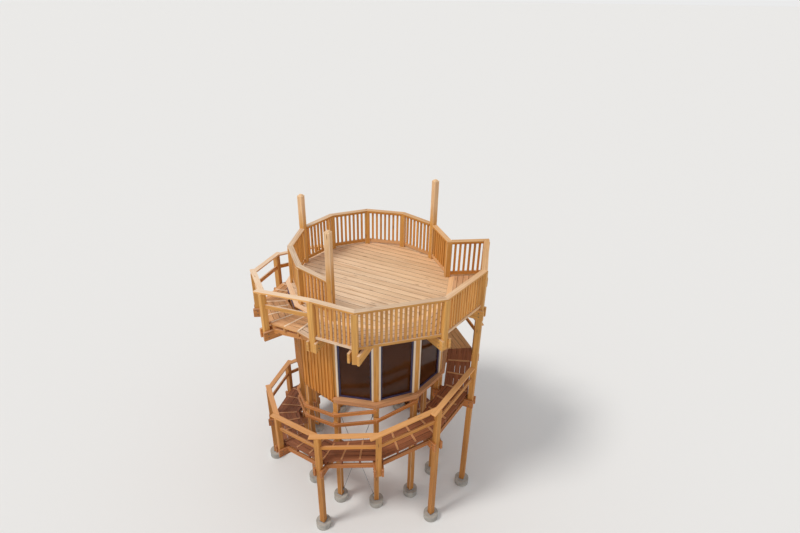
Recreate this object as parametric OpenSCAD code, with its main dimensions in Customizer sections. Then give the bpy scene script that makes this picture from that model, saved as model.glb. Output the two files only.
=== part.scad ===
// Tree house: a twelve-sided cabin on tall posts with a roof terrace,
// an outer ring deck and one stair that winds down round the cabin.
// Millimetres, +Z up, origin on the ground under the cabin's axis.
// Corners are counted counter-clockwise from the right: corner 0 is just
// right of the axis, corner 9 is nearest the front.

/* [Levels] */
// Height of the entrance landing above the ground
landing_h = 4094; // [3400:10:4700]
// Height of the terrace boards above the entrance landing
storey_h = 2606; // [2400:5:2900]
// Height of the terrace handrail above the terrace boards
rail_h = 1100; // [1000:5:1250]
// Height of the lower flight's handrail above its walkway
lower_rail_h = 1030; // [900:5:1150]
// Step from the entrance landing up to the cabin floor
step_in = 56; // [40:1:120]
// Height of the cladding's lower edge below the cabin floor
skirt_drop = 134; // [90:1:200]

/* [Plan] */
// Turn of corner 0 from the X axis, in degrees
corner_turn = 2.4; // [-5:0.1:5]
// Distance from the axis to the centre of each main post
main_r = 2120; // [1900:5:2250]
// Distance of the terrace's edge past the outer faces of the walls
edge_reach = 110; // [95:1:150]
// Clear width of the ring deck and the stair, from the terrace's edge
walk_w = 697; // [600:1:900]
// Distance of the post at the stair's head inside the outer posts' circle
head_inset = 162; // [50:1:240]
// Angle of the skew post in the front of the ring, in degrees
skew_angle = -97.3; // [-100:0.1:-92]

/* [Posts and beams] */
// Side of every square post
post_w = 150; // [120:1:170]
// Chamfer on the posts' corners
post_chamfer = 10; // [4:1:20]
// Height of the two taller terrace posts above the handrail
tall_post = 1310; // [800:5:1500]
// Height of the third tall post above the handrail
mid_post = 960; // [600:5:1100]
// Thickness of the twin radial beams
beam_t = 60; // [45:1:75]
// Depth of the ring deck's radial beams
ring_beam_h = 280; // [220:5:300]
// Depth of the stair's radial beams
stair_beam_h = 260; // [200:5:280]
// Length of the radial beams past the outer posts
beam_nose = 45; // [20:1:80]

/* [Cabin] */
// Thickness of the timber walls without their cladding
wall_t = 150; // [120:1:180]
// Thickness of the cladding's back layer
clad_t = 20; // [16:1:28]
// Thickness of the proud cladding boards
clad_proud = 20; // [14:1:28]
// Width of a proud cladding board
clad_board = 62; // [50:1:80]
// Number of proud boards on a side
clad_count = 9; // [6:1:11]
// Length of the proud boards past the back layer, at the bottom
clad_drip = 40; // [20:1:60]
// Thickness of the cabin floor boards
cabin_floor_t = 30; // [22:1:40]
// Depth of the cabin's floor beams
floor_beam_h = 160; // [140:1:220]
// Width of a floor joist
joist_w = 60; // [45:1:80]
// Spacing of the cabin's floor joists
joist_step = 500; // [400:10:700]
// Depth of the head beams over walls and windows
head_h = 160; // [120:1:200]
// Depth of the flat roof slab
roof_t = 220; // [160:5:240]
// Thickness of the roof membrane on the rim
membrane_t = 4; // [3:1:8]

/* [Windows and door] */
// Height of the window sill boards above the cabin floor
sill_top = 66; // [40:1:120]
// Thickness of a window sill board
sill_t = 36; // [28:1:50]
// Length of the sill past the posts' outer corners
sill_nose = 95; // [60:1:110]
// Thickness of the rim board under the sills
rim_board_t = 34; // [28:1:45]
// Face width of the dark window frames
frame_w = 48; // [40:1:70]
// Depth of the window and door frames
frame_d = 70; // [56:1:90]
// Thickness of the glass units
glass_t = 24; // [16:1:32]
// Depth of the glass in its groove
glass_bite = 12; // [8:1:16]
// Width of the jamb boards beside each window, at the frame
jamb_w = 20; // [12:1:70]
// Face height of the door frame above the leaf
door_head = 51; // [40:1:80]
// Height of the door's lever above the cabin floor
lever_h = 950; // [850:10:1050]
// Face width of the door leaf's stiles and rails
stile_w = 105; // [80:1:130]
// Gap round the door leaf
door_gap = 4; // [3:0.5:6]

/* [Terrace and deck] */
// Thickness of the terrace, deck and walkway boards
board_t = 40; // [28:1:45]
// Width of the battens under the terrace boards
batten_w = 60; // [45:1:80]
// Spacing of the battens
batten_step = 480; // [400:10:600]

/* [Balustrade] */
// Width of the handrail boards
rail_w = 145; // [120:1:160]
// Thickness of the handrail boards
rail_t = 45; // [35:1:55]
// Thickness of the balusters' top and bottom rails
sub_rail_w = 45; // [38:1:60]
// Depth of the top rail under the handrail
sub_rail_h = 50; // [40:1:95]
// Width of a baluster
baluster_w = 58; // [40:1:70]
// Thickness of a baluster
baluster_t = 38; // [28:1:45]
// Clear gap between the terrace balusters
inner_gap = 67; // [50:1:90]
// Clear gap between the ring's balusters
outer_gap = 52; // [45:1:80]
// Depth of the terrace panels' bottom rail
foot_rail_h = 90; // [70:1:110]
// Gap under the terrace panels' bottom rail
foot_rail_lift = 55; // [40:1:80]
// Width of the flat edge board along the ring
edge_w = 132; // [100:1:132]
// Thickness of the flat edge board
edge_t = 72; // [45:1:80]
// Gap under the edge board on the ring deck
edge_lift = 40; // [25:1:60]
// Depth of the stair's mid rail
mid_rail_h = 115; // [90:1:140]
// Distance of the mid rail's top below the handrail's top
mid_rail_drop = 375; // [300:5:450]
// Length of the stair's handrails past the corners at their lower ends
rail_over = 230; // [150:5:280]

/* [Stair] */
// Number of equal rises from the ground up to the landing
lower_risers = 33; // [30:1:36]
// Width of the boards that run down along the walkway
walk_board_w = 142; // [90:1:160]
// Gap between the boards of the walkway
board_gap = 8; // [4:1:12]
// Thickness of the stringers that carry the walkway
stringer_w = 60; // [45:1:80]
// Plumb depth of the stringers
stringer_h = 140; // [120:1:200]
// Width of the radial bearers under the walkway's boards
bearer_w = 45; // [38:1:60]
// Depth of the bearers under the landing
landing_bearer_h = 112; // [60:1:120]
// Distance of the inner stringer from the walkway's inner edge
string_inset = 60; // [30:5:120]

/* [Bracing and feet] */
// Diameter of the steel tie rods
rod_d = 16; // [12:1:24]
// Height of the tie rods' lower ends above the ground
rod_low = 380; // [340:10:420]
// Depth of the tie rods' upper ends below the entrance landing
rod_drop = 420; // [400:10:480]
// Diameter of the concrete pads
pad_d = 420; // [360:10:520]
// Height of the concrete pads above the ground
pad_h = 200; // [120:5:300]
// Thickness of the steel shoes on the pads
shoe_t = 12; // [8:1:20]

/* [Hidden] */

// Colours
timber = "#cf9a5b";
pale_timber = "#e6cfa8";
deck_timber = "#dcb98e";
clad_timber = "#c78f4f";
shaded_timber = "#b3713f";
frame_dark = "#2c2838";
membrane_blue = "#51486e";
steel_grey = "#8b8d92";
concrete_grey = "#b9b5ad";

// Clearance between pieces that seat on each other sideways
fit = 0.3;
// Depth of a joint between members of one panel
tenon = 12;
// Sides of the cabin, and half the angle of one side
sides = 12;
side_angle = 360 / sides;
half_angle = side_angle / 2;

// Angle of corner k, and the unit vector at an angle
function corner(k) = corner_turn + side_angle * k;
function dir(a) = [cos(a), sin(a)];

// Stair: three treads to each side, and the sides of the upper flight
tread_angle = 10;
side_treads = 3;
upper_sides = 7;
landing_riser = upper_sides * side_treads;

// Levels worked out from the driving heights
upper_rise = storey_h / landing_riser;
lower_rise = landing_h / lower_risers;
terrace_h = landing_h + storey_h;
cabin_floor_z = landing_h + step_in;
skirt_z = cabin_floor_z - skirt_drop;
rail_top = terrace_h + rail_h;
rail_under = rail_top - rail_t;
post_top = rail_under - fit;
deck_under = terrace_h - board_t;
ring_beam_z = deck_under - ring_beam_h;
head_top = ring_beam_z;
head_z = head_top - head_h;
floor_beam_top = cabin_floor_z - cabin_floor_t;
floor_beam_z = floor_beam_top - floor_beam_h;
roof_top = head_top + roof_t;
post_foot = pad_h + shoe_t;

// Apothems of the cabin's layers
main_apo = main_r * cos(half_angle);
post_reach = post_w / 2 * (cos(half_angle) + sin(half_angle));
wall_out = main_apo + post_reach;
terrace_edge = wall_out + edge_reach;
wall_in = wall_out - wall_t;
clad_in = wall_out + fit;
slab_apo = main_apo - post_reach - 10;
rim_out = terrace_edge - membrane_t - 10;

// Walkway from the terrace's edge out to the edge boards, and the circle of
// the outer posts that it gives
walk_in = terrace_edge;
edge_in = -post_reach - 0.5;
walk_side = edge_in - 0.5;
edge_out = edge_in + edge_w;
outer_apo = walk_in + walk_w - walk_side;
outer_r = outer_apo / cos(half_angle);
stair_head_r = outer_r - head_inset;
walk_out = outer_apo + walk_side;
walk_rows = ceil((walk_out - walk_in - board_gap) / (walk_board_w + board_gap));

// Stair angles: nosing 0 is the edge of the ring deck. The stair goes down
// clockwise, so its angles fall and run on past a full turn.
stair_head = corner(-4);
first_nosing = stair_head - tread_angle;
landing_start = first_nosing - (landing_riser - 1) * tread_angle;
landing_end = landing_start - side_angle;
last_nosing = landing_end - (lower_risers - 1) * tread_angle;

// Rise of the flight at an angle, and the drops from the line of the nosings
// down to the radial beams and to the posts' feet
function is_upper(a) = a > landing_start - 1;
function rise_at(a) = is_upper(a) ? upper_rise : lower_rise;
function beam_drop(a) = rise_at(a) + board_t + fit;
function post_drop(a) = beam_drop(a) + stair_beam_h + 30;

// Height of the nosing line at an angle of the upper or the lower flight. The
// upper handrail runs on from the top of the ring's at the head post.
function pitch_z(a) = is_upper(a)
    ? terrace_h + (a - first_nosing) * upper_rise / tread_angle
    : landing_h + (min(a, landing_end) - landing_end) * lower_rise / tread_angle;
upper_rail_h = rail_h - upper_rise;
function rail_z(a) = pitch_z(a) + (a > landing_end + 1 ? upper_rail_h : lower_rail_h);
function beam_z(a) = pitch_z(a) - beam_drop(a) - stair_beam_h;

// Corner angles of the flights, from the head of the stair down. The foot of
// the stair ends part of the way along a side.
upper_corners = [for (j = [0 : upper_sides]) stair_head - side_angle * j];
lower_sides = ceil((lower_risers - 1) / side_treads) - 1;
lower_corners = concat([for (j = [0 : lower_sides]) landing_end - side_angle * j], [last_nosing]);
stair_foot_r = outer_apo / cos(last_nosing - side_mid(last_nosing + 1));
function stair_r(a) =
    a > stair_head - 1 ? stair_head_r :
    a < last_nosing + 1 ? stair_foot_r : outer_r;

// Corners of the ring deck, as angle and distance
ring_corners = [
    [corner(0), outer_r], [corner(-1), outer_r], [corner(-2), outer_r],
    [skew_angle, outer_r], [stair_head, stair_head_r]
];

// Corners with taller posts, and corners whose posts stop under the roof
function main_post_top(k) =
    k == 1 || k == 8 ? rail_top + tall_post :
    k == 5 ? rail_top + mid_post :
    k >= 9 ? head_top : post_top;
function is_tall(k) = k == 1 || k == 5 || k == 8;

// Lower corners with radial beams. Every second one of them, and the last,
// has an outer post on a pad. At corner 1 it is the ring's own post. The
// posts below the last beams stand on the ground.
beam_corners = [for (j = [0 : lower_sides]) if (beam_z(lower_corners[j]) > pad_h + 50) j];
last_beams = len(beam_corners) - 1;
pad_corners = [for (j = [2 : last_beams]) if (j % 2 == 0 || j == last_beams) j];
low_corners = [last_beams + 1 : lower_sides + 1];
pad_angles = concat([corner(-1)], [for (j = pad_corners) lower_corners[j]]);
beam_angles = concat([for (j = [0 : upper_sides]) upper_corners[j]],
    [for (j = beam_corners) lower_corners[j]]);
function is_in(v, list) = len([for (g = list) if (g == v) g]) > 0;
function stair_post_foot(j) =
    is_in(j, pad_corners) ? post_foot :
    j > last_beams ? shoe_t : pitch_z(lower_corners[j]) - post_drop(lower_corners[j]);

// Next corner of the stair up or down from the corner at angle a
function uphill(a) = a == last_nosing ? lower_corners[lower_sides] : a + side_angle;
function downhill(a) = max(a - side_angle, last_nosing);

// Distance from a corner's radial plane to the sides of the twin beams and
// to the sides of the post, with the fit
beam_face = post_w / 2 + beam_t + 2 * fit;
post_face = post_w / 2 + fit;

// Side of a polygon from corner 1 to corner 2, counter-clockwise
function side_u(p, q) = (q - p) / norm(q - p);
function out_n(u) = [u[1], -u[0]];
function cut_start(p, u, n, a, d, s) =
    let (t = [-sin(a), cos(a)]) p + n * d + u * ((s - d * (n * t)) / (u * t));
function cut_end(q, u, n, a, d, s) =
    let (t = [sin(a), -cos(a)]) q + n * d - u * ((d * (n * t) - s) / (u * t));

// Plan of a bar along a side: from offset d1 to d2 outside the line of the
// corners, its ends cut at distance s1 and s2 from the corners' radial planes
function bar_plan(a1, r1, a2, r2, d1, d2, s1, s2) =
    let (p = r1 * dir(a1), q = r2 * dir(a2), u = side_u(p, q), n = out_n(u))
    [cut_start(p, u, n, a1, d1, s1), cut_end(q, u, n, a2, d1, s2),
     cut_end(q, u, n, a2, d2, s2), cut_start(p, u, n, a1, d2, s1)];

// Where the ray at angle a meets a line: the side of the outer corners at
// offset d, or the cabin's side at an apothem
function outer_hit(a, a1, r1, a2, r2, d) =
    let (p = r1 * dir(a1), q = r2 * dir(a2), n = out_n(side_u(p, q)))
    dir(a) * ((p * n + d) / (dir(a) * n));
function side_mid(a) =
    corner_turn + side_angle * floor((a - corner_turn) / side_angle) + half_angle;
function inner_hit(a, apo, mid) = dir(a) * (apo / cos(a - mid));

module level_bar(a1, r1, a2, r2, d1, d2, s1, s2, z, h) {
    translate([0, 0, z])
        linear_extrude(height = h)
            polygon(bar_plan(a1, r1, a2, r2, d1, d2, s1, s2));
}

// Slab of plumb depth h whose top slopes from z1 at point p to z2 at point q
// and runs on past both, cut to a plan
module sloped_slab(p, z1, q, z2, h, plan) {
    u = side_u(p, q);
    span = norm(q - p);
    grade = (z2 - z1) / span;
    over = 2 * post_w + rail_over;
    intersection() {
        linear_extrude(height = max(z1, z2) + over)
            polygon(plan);
        translate([p[0], p[1], 0])
            rotate([0, 0, atan2(u[1], u[0])])
                rotate([90, 0, 0])
                    linear_extrude(height = 4 * outer_r, center = true)
                        polygon([
                            [-over, z1 - grade * over],
                            [span + over, z2 + grade * over],
                            [span + over, z2 + grade * over - h],
                            [-over, z1 - grade * over - h]
                        ]);
    }
}

// Bar that slopes from z1 at corner 1 to z2 at corner 2, plumb depth h
module sloped_bar(a1, r1, z1, a2, r2, z2, d1, d2, s1, s2, h) {
    sloped_slab(r1 * dir(a1), z1, r2 * dir(a2), z2, h,
        bar_plan(a1, r1, a2, r2, d1, d2, s1, s2));
}

// Bar on side k of the cabin between two apothems
module bay_bar(k, apo1, apo2, s, z, h) {
    level_bar(corner(k), main_r, corner(k + 1), main_r,
        apo1 - main_apo, apo2 - main_apo, s, s, z, h);
}

// Board on side k that runs past the posts' outer corners
module bay_board(k, apo1, apo2, z, h) {
    bay_bar(k, apo1, apo2, fit, z, h);
}

module twelve_sided(apo, z, h) {
    translate([0, 0, z])
        rotate([0, 0, corner_turn])
            cylinder(r = apo / cos(half_angle), h = h, $fn = sides);
}

// Square post with chamfered corners, facing the axis
module post(a, r, z1, z2) {
    half = post_w / 2;
    flat = half - post_chamfer;
    rotate([0, 0, a])
        translate([r, 0, z1])
            linear_extrude(height = z2 - z1)
                polygon([
                    [half, -flat], [half, flat], [flat, half], [-flat, half],
                    [-half, flat], [-half, -flat], [-flat, -half], [flat, -half]
                ]);
}

// Shallow pyramid on a post's top
module post_cap(a, r, z) {
    rotate([0, 0, a])
        translate([r, 0, z])
            linear_extrude(height = 35, scale = 0.55)
                square(post_w - 2 * post_chamfer, center = true);
}

// Twin beams on both sides of the posts from a1, r1 to a2, r2
module twin_beams(a1, r1, a2, r2, z, h) {
    p = r1 * dir(a1);
    q = r2 * dir(a2);
    u = side_u(p, q);
    span = norm(q - p);
    for (s = [-1, 1])
        translate([p[0], p[1], z])
            rotate([0, 0, atan2(u[1], u[0])])
                translate([-post_w / 2, s > 0 ? post_w / 2 + fit : -post_w / 2 - fit - beam_t, 0])
                    cube([span + post_w + beam_nose, beam_t, h]);
}

module pad(a, r) {
    rotate([0, 0, a])
        translate([r, 0, 0])
            cylinder(d = pad_d, h = pad_h, $fn = 48);
}

module footings() {
    color(concrete_grey) {
        for (k = [0 : sides - 1])
            pad(corner(k), main_r);
        for (a = pad_angles)
            pad(a, outer_r);
    }
}

module shoe(a, r, z, side) {
    rotate([0, 0, a])
        translate([r - side / 2, -side / 2, z])
            cube([side, side, shoe_t]);
}

module post_shoes() {
    color(steel_grey) {
        for (k = [0 : sides - 1])
            shoe(corner(k), main_r, pad_h, post_w + 30);
        for (a = pad_angles)
            shoe(a, outer_r, pad_h, post_w + 30);
        for (j = low_corners)
            shoe(lower_corners[j], stair_r(lower_corners[j]), 0, post_w);
    }
}

module main_posts() {
    color(timber)
        for (k = [0 : sides - 1]) {
            post(corner(k), main_r, post_foot, main_post_top(k));
            if (is_tall(k))
                post_cap(corner(k), main_r, main_post_top(k));
        }
}

module outer_posts() {
    color(timber) {
        for (c = ring_corners)
            if (c[0] != corner(-1) && c[0] != stair_head)
                post(c[0], c[1], ring_beam_z - 30, post_top);
        post(corner(-1), outer_r, post_foot, post_top);
        stair_post(stair_head, ring_beam_z - 30, post_top);
        for (j = [1 : upper_sides])
            stair_post(upper_corners[j], pitch_z(upper_corners[j]) - post_drop(upper_corners[j]),
                rail_z(upper_corners[j]));
        for (j = [0 : lower_sides + 1])
            if (j != 1)
                stair_post(lower_corners[j], stair_post_foot(j), rail_z(lower_corners[j]));
    }
}

// Post of the stair, its top cut to the slopes of the handrails on it: the
// one from above runs past the corner, the one below starts beside it
module stair_post(a, foot, top) {
    difference() {
        post(a, stair_r(a), foot, top);
        if (a > last_nosing + 1)
            handrail_space([a, downhill(a)], [
                hand_top([a, downhill(a)], -post_w, 0),
                hand_top([a, downhill(a)], post_w, 0),
                hand_top([a, downhill(a)], post_w, post_w),
                hand_top([a, downhill(a)], -post_w, post_w)
            ]);
        if (a < stair_head - 1)
            handrail_space([uphill(a), a], [
                hand_low([uphill(a), a], -rail_w / 2 - 2 * fit, post_w),
                hand_low([uphill(a), a], -rail_w / 2 - 2 * fit, -post_w),
                hand_low([uphill(a), a], post_w, -post_w),
                hand_low([uphill(a), a], post_w, post_w)
            ]);
    }
}

// Space of the handrail of a side and of what is just above it, in a plan
module handrail_space(e, plan) {
    over = 120;
    sloped_slab(stair_r(e[1]) * dir(e[1]), rail_z(e[1]) + over, stair_r(e[0]) * dir(e[0]), rail_z(e[0]) + over,
        over + rail_t + fit, plan);
}

module cabin_floor_beams() {
    color(shaded_timber) {
        difference() {
            union()
                for (k = [0 : sides - 1])
                    bay_bar(k, slab_apo, wall_out, post_face, floor_beam_z, floor_beam_h);
            beam_notches([upper_sides]);
        }
        intersection() {
            twelve_sided(slab_apo - fit, floor_beam_z, floor_beam_h);
            for (i = [-3 : 3])
                translate([-main_r, i * joist_step - joist_w / 2, floor_beam_z])
                    cube([2 * main_r, joist_w, floor_beam_h]);
        }
    }
}

module cabin_floor() {
    color(deck_timber)
        difference() {
            twelve_sided(wall_in - fit, floor_beam_top, cabin_floor_t);
            for (k = [0 : sides - 1])
                post_hole(k, floor_beam_top, cabin_floor_t);
        }
}

// Hole in a floor for main post k
module post_hole(k, z, h) {
    rotate([0, 0, corner(k)])
        translate([main_r - post_w / 2 - fit, -post_w / 2 - fit, z - 1])
            cube([post_w + 2 * fit, post_w + 2 * fit, h + 2]);
}

// One clad side: the wall between the posts, the cladding's back layer over
// the posts and the proud boards, cut round the stair's beams
module clad_wall(k) {
    board_len = 2 * clad_in * tan(half_angle);
    step = board_len / clad_count;
    difference() {
        union() {
            bay_bar(k, wall_in, clad_in + clad_t / 2, post_face, floor_beam_top, head_z - floor_beam_top);
            bay_board(k, clad_in, clad_in + clad_t, skirt_z + clad_drip, head_top - skirt_z - clad_drip);
            rotate([0, 0, corner(k) + half_angle])
                for (i = [0 : clad_count - 1])
                    translate([clad_in + clad_t - 1, (i + 0.5) * step - board_len / 2 - clad_board / 2, skirt_z])
                        cube([clad_proud + 1, clad_board, head_top - skirt_z]);
        }
        beam_notches([1 : upper_sides]);
    }
}

// Room for the stair's beams where they pass through walls and boards
module beam_notches(corners) {
    for (j = corners, s = [-1, 1])
        rotate([0, 0, upper_corners[j]])
            translate([main_r - post_w / 2 - fit, s > 0 ? post_w / 2 : -beam_face,
                beam_z(upper_corners[j]) - fit])
                cube([outer_r - main_r + 2 * post_w, beam_face - post_w / 2, stair_beam_h + 2 * fit]);
}

module wall_1() { color(clad_timber) clad_wall(1); }
module wall_2() { color(clad_timber) clad_wall(2); }
module wall_3() { color(clad_timber) clad_wall(3); }
module wall_4() { color(clad_timber) clad_wall(4); }
module wall_5() { color(clad_timber) clad_wall(5); }
module wall_6() { color(clad_timber) clad_wall(6); }
module wall_7() { color(clad_timber) clad_wall(7); }

// Sides with windows, and the side with the entrance
window_bays = [8, 9, 10, 11];
door_bay = 0;
sill_z = cabin_floor_z + sill_top - sill_t;
window_z = cabin_floor_z + sill_top;
frame_out = wall_out - 30;
frame_in = frame_out - frame_d;
function face_half(apo) = apo * tan(half_angle) - (post_w / 2 + fit) / cos(half_angle);
frame_half = face_half(frame_in) - jamb_w;

module window_rim_boards() {
    color(timber)
        difference() {
            union()
                for (k = concat(window_bays, [door_bay]))
                    bay_board(k, clad_in, clad_in + rim_board_t, skirt_z,
                        (k == door_bay ? floor_beam_top : sill_z) - fit - skirt_z);
            beam_notches([upper_sides]);
        }
}

module window_sills() {
    color(pale_timber)
        for (k = window_bays) {
            bay_bar(k, wall_in, wall_out, post_face, floor_beam_top, window_z - floor_beam_top);
            bay_board(k, wall_out - 0.5, clad_in + sill_nose, sill_z, sill_t);
        }
}

// Jamb boards from the posts' faces to the window frame
module jamb_pair(k, z, h) {
    rotate([0, 0, corner(k) + half_angle])
        for (m = [0, 1])
            mirror([0, m, 0])
                translate([0, 0, z])
                    linear_extrude(height = h)
                        polygon([
                            [wall_in, frame_half + fit], [wall_out, frame_half + fit],
                            [wall_out, face_half(wall_out)], [wall_in, face_half(wall_in)]
                        ]);
}

module window_jambs() {
    color(pale_timber)
        for (k = concat(window_bays, [door_bay]))
            jamb_pair(k, k == door_bay ? floor_beam_top : window_z,
                head_z - (k == door_bay ? floor_beam_top : window_z));
}

// Frame that stands in side k, with a groove for the glass
module glazed_frame(k, half, z, h, face, depth) {
    rotate([0, 0, corner(k) + half_angle])
        translate([frame_out - frame_d / 2, 0, z])
            difference() {
                translate([-depth / 2, -half, 0])
                    cube([depth, 2 * half, h]);
                translate([-depth, -half + face, face])
                    cube([2 * depth, 2 * (half - face), h - 2 * face]);
                translate([-glass_t / 2 - fit, -half + face - glass_bite - fit, face - glass_bite - fit])
                    cube([glass_t + 2 * fit, 2 * (half - face + glass_bite + fit),
                        h - 2 * (face - glass_bite - fit)]);
            }
}

module pane(k, half, z, h, face) {
    rotate([0, 0, corner(k) + half_angle])
        translate([frame_out - frame_d / 2 - glass_t / 2, -half + face - glass_bite, z + face - glass_bite])
            cube([glass_t, 2 * (half - face + glass_bite), h - 2 * (face - glass_bite)]);
}

module window_frames() {
    color(frame_dark)
        for (k = window_bays)
            glazed_frame(k, frame_half, window_z, head_z - window_z, frame_w, frame_d);
}

module window_glass() {
    color("#5b6470", 0.6)
        for (k = window_bays)
            pane(k, frame_half, window_z, head_z - window_z, frame_w);
}

module head_beams() {
    color(timber) {
        difference() {
            union()
                for (k = [0 : sides - 1])
                    bay_bar(k, slab_apo - 60, wall_out, post_face, head_z, head_h);
            beam_notches([1]);
        }
        for (k = concat(window_bays, [door_bay]))
            bay_board(k, clad_in, clad_in + rim_board_t, head_z, head_h);
    }
}

// Entrance: frame with a threshold, one glazed leaf
door_half = frame_half - frame_w - door_gap;
door_sill = 8;
door_z = cabin_floor_z + door_sill + door_gap;
door_h = head_z - door_head - door_gap - door_z;
hinge_h = 90;
hinge_z = [180, door_h / 2 - hinge_h / 2, door_h - 180 - hinge_h];
module entrance_frame() {
    color(frame_dark)
        rotate([0, 0, corner(door_bay) + half_angle])
            translate([frame_in, 0, 0])
                difference() {
                    translate([0, -frame_half, floor_beam_top])
                        cube([frame_d, 2 * frame_half, head_z - floor_beam_top]);
                    translate([-frame_d, -frame_half + frame_w, cabin_floor_z + door_sill])
                        cube([3 * frame_d, 2 * (frame_half - frame_w),
                            door_h + 2 * door_gap]);
                }
}

module entrance_door() {
    color(frame_dark) {
        glazed_frame(door_bay, door_half, door_z, door_h, stile_w, frame_d - 10);
        for (z = hinge_z)
            rotate([0, 0, corner(door_bay) + half_angle])
                translate([frame_out - frame_d / 2, door_half - 1, door_z + z])
                    cube([30, door_gap + 1 - fit, hinge_h]);
        rotate([0, 0, corner(door_bay) + half_angle])
            translate([frame_out - 6, -door_half + 40, cabin_floor_z + lever_h]) {
                cube([50, 22, 22]);
                translate([34, 0, 0])
                    cube([16, 130, 22]);
            }
    }
}

module entrance_glass() {
    color("#5b6470", 0.6)
        pane(door_bay, door_half, door_z, door_h, stile_w);
}

module roof_slab() {
    color(pale_timber)
        twelve_sided(slab_apo, head_top, roof_t);
}

module roof_rim() {
    color(timber)
        for (k = [0 : sides - 1])
            if (k != 8 && k != 9)
                bay_bar(k, slab_apo + fit, rim_out, beam_face, head_top, ring_beam_h);
            else
                difference() {
                    bay_bar(k, slab_apo + fit, rim_out, beam_face, head_top, ring_beam_h);
                    skew_beams(fit);
                }
}

module roof_membrane() {
    color(membrane_blue)
        for (k = [0 : 7])
            bay_bar(k, rim_out + fit, rim_out + fit + membrane_t, beam_face, head_top + 60, ring_beam_h - 60);
}

module terrace_battens() {
    color(timber)
        intersection() {
            twelve_sided(slab_apo, roof_top, deck_under - roof_top);
            rotate([0, 0, corner(-1)])
                for (i = [-4 : 4])
                    translate([i * batten_step - batten_w / 2, -main_r, roof_top])
                        cube([batten_w, 2 * main_r, deck_under - roof_top]);
        }
}

border_in = main_apo + 60;
module terrace_floor() {
    color(deck_timber)
        difference() {
            twelve_sided(border_in, deck_under, board_t);
            for (k = [0 : 8])
                post_hole(k, deck_under, board_t);
        }
}

module terrace_border() {
    color(pale_timber)
        for (k = [0 : sides - 1])
            difference() {
                bay_bar(k, border_in + fit, terrace_edge - 1, fit, deck_under, board_t);
                for (c = [k, k + 1])
                    if (c <= 8 || c == sides)
                        post_hole(c, deck_under, board_t);
            }
}

// Sector of the ring deck between two angles of one outer side
module deck_sector(a1, a2, s1, s2) {
    inner_corners = [for (k = [-5 : 0]) if (corner(k) > a1 + 1 && corner(k) < a2 - 1) corner(k)];
    mids = concat([side_mid(a1 + 0.5)], [side_mid(a2 - 0.5)]);
    translate([0, 0, deck_under])
        linear_extrude(height = board_t)
            polygon(concat(
                [outer_hit(a2, s1[0], s1[1], s2[0], s2[1], walk_side)],
                [outer_hit(a1, s1[0], s1[1], s2[0], s2[1], walk_side)],
                [inner_hit(a1, walk_in, mids[0])],
                [for (a = inner_corners) dir(a) * walk_in / cos(half_angle)],
                [inner_hit(a2, walk_in, mids[1])]
            ));
}

module ring_deck() {
    gap = 0.01;
    color(deck_timber) {
        for (i = [0 : 3])
            deck_sector(ring_corners[i + 1][0] + gap, ring_corners[i][0] - gap,
                ring_corners[i + 1], ring_corners[i]);
        difference() {
            union() {
                deck_sector(first_nosing, stair_head - gap,
                    [stair_head - side_angle, outer_r], [stair_head, outer_r]);
                bearer(first_nosing, terrace_h, 1);
            }
            stringer_pair(upper_stair[0], fit);
            rotate([0, 0, stair_head])
                translate([stair_head_r - post_face - 2, -post_face - 2, deck_under - 1])
                    cube([outer_r, 2 * post_face + 4, board_t + 2]);
        }
    }
}

// Twin beams that run askew from corner 9 to the skew post
module skew_beams(grow) {
    p = main_r * dir(corner(9));
    q = outer_r * dir(skew_angle);
    u = side_u(p, q);
    skew = abs(atan2(u[1], u[0]) - skew_angle);
    reach = post_w / 2 * (cos(skew) + sin(skew)) + fit;
    for (s = [-1, 1])
        translate([p[0], p[1], ring_beam_z - grow])
            rotate([0, 0, atan2(u[1], u[0])])
                translate([post_w, s > 0 ? reach - grow : -reach - beam_t - grow, 0])
                    cube([norm(q - p) - post_w / 2 + beam_nose, beam_t + 2 * grow, ring_beam_h + 2 * grow]);
}

module ring_beams() {
    color(timber) {
        for (c = [[0, outer_r], [-1, outer_r], [-2, outer_r], [-4, stair_head_r]])
            twin_beams(corner(c[0]), main_r, corner(c[0]), c[1], ring_beam_z, ring_beam_h);
        skew_beams(0);
    }
}

// Row of balusters between two rails on a line of the given length
module baluster_row(x1, x2, gap, z1, z2) {
    clear = x2 - x1;
    count = round((clear - gap) / (baluster_w + gap));
    space = (clear - count * baluster_w) / (count + 1);
    for (i = [0 : count - 1])
        translate([x1 + space + i * (baluster_w + space), -baluster_t / 2, z1 - tenon])
            cube([baluster_w, baluster_t, z2 - z1 + 2 * tenon]);
}

// Panel with handrail, top rail, balusters and bottom rail
module balustrade(a1, r1, a2, r2, s1, s2, gap, foot_d1, foot_d2, foot_z, foot_h) {
    p = r1 * dir(a1);
    q = r2 * dir(a2);
    u = side_u(p, q);
    inset = post_face / abs(u * [-sin(a1), cos(a1)]);
    outset = post_face / abs(u * [-sin(a2), cos(a2)]);
    half = sub_rail_w / 2;
    level_bar(a1, r1, a2, r2, -rail_w / 2, rail_w / 2, s1, s2, rail_under, rail_t);
    level_bar(a1, r1, a2, r2, -half, half, post_face, post_face, rail_under - sub_rail_h, sub_rail_h);
    level_bar(a1, r1, a2, r2, foot_d1, foot_d2, post_face, post_face, terrace_h + foot_z, foot_h);
    translate([p[0], p[1], 0])
        rotate([0, 0, atan2(u[1], u[0])])
            baluster_row(inset, norm(q - p) - outset, gap,
                terrace_h + foot_z + foot_h, rail_under - sub_rail_h);
}

function rail_end(k) = is_tall(k) ? post_face : fit;

module terrace_panel(k) {
    color(timber)
        balustrade(corner(k), main_r, corner(k + 1), main_r, rail_end(k), rail_end(k + 1),
            inner_gap, -sub_rail_w / 2, sub_rail_w / 2, foot_rail_lift, foot_rail_h);
}

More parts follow.
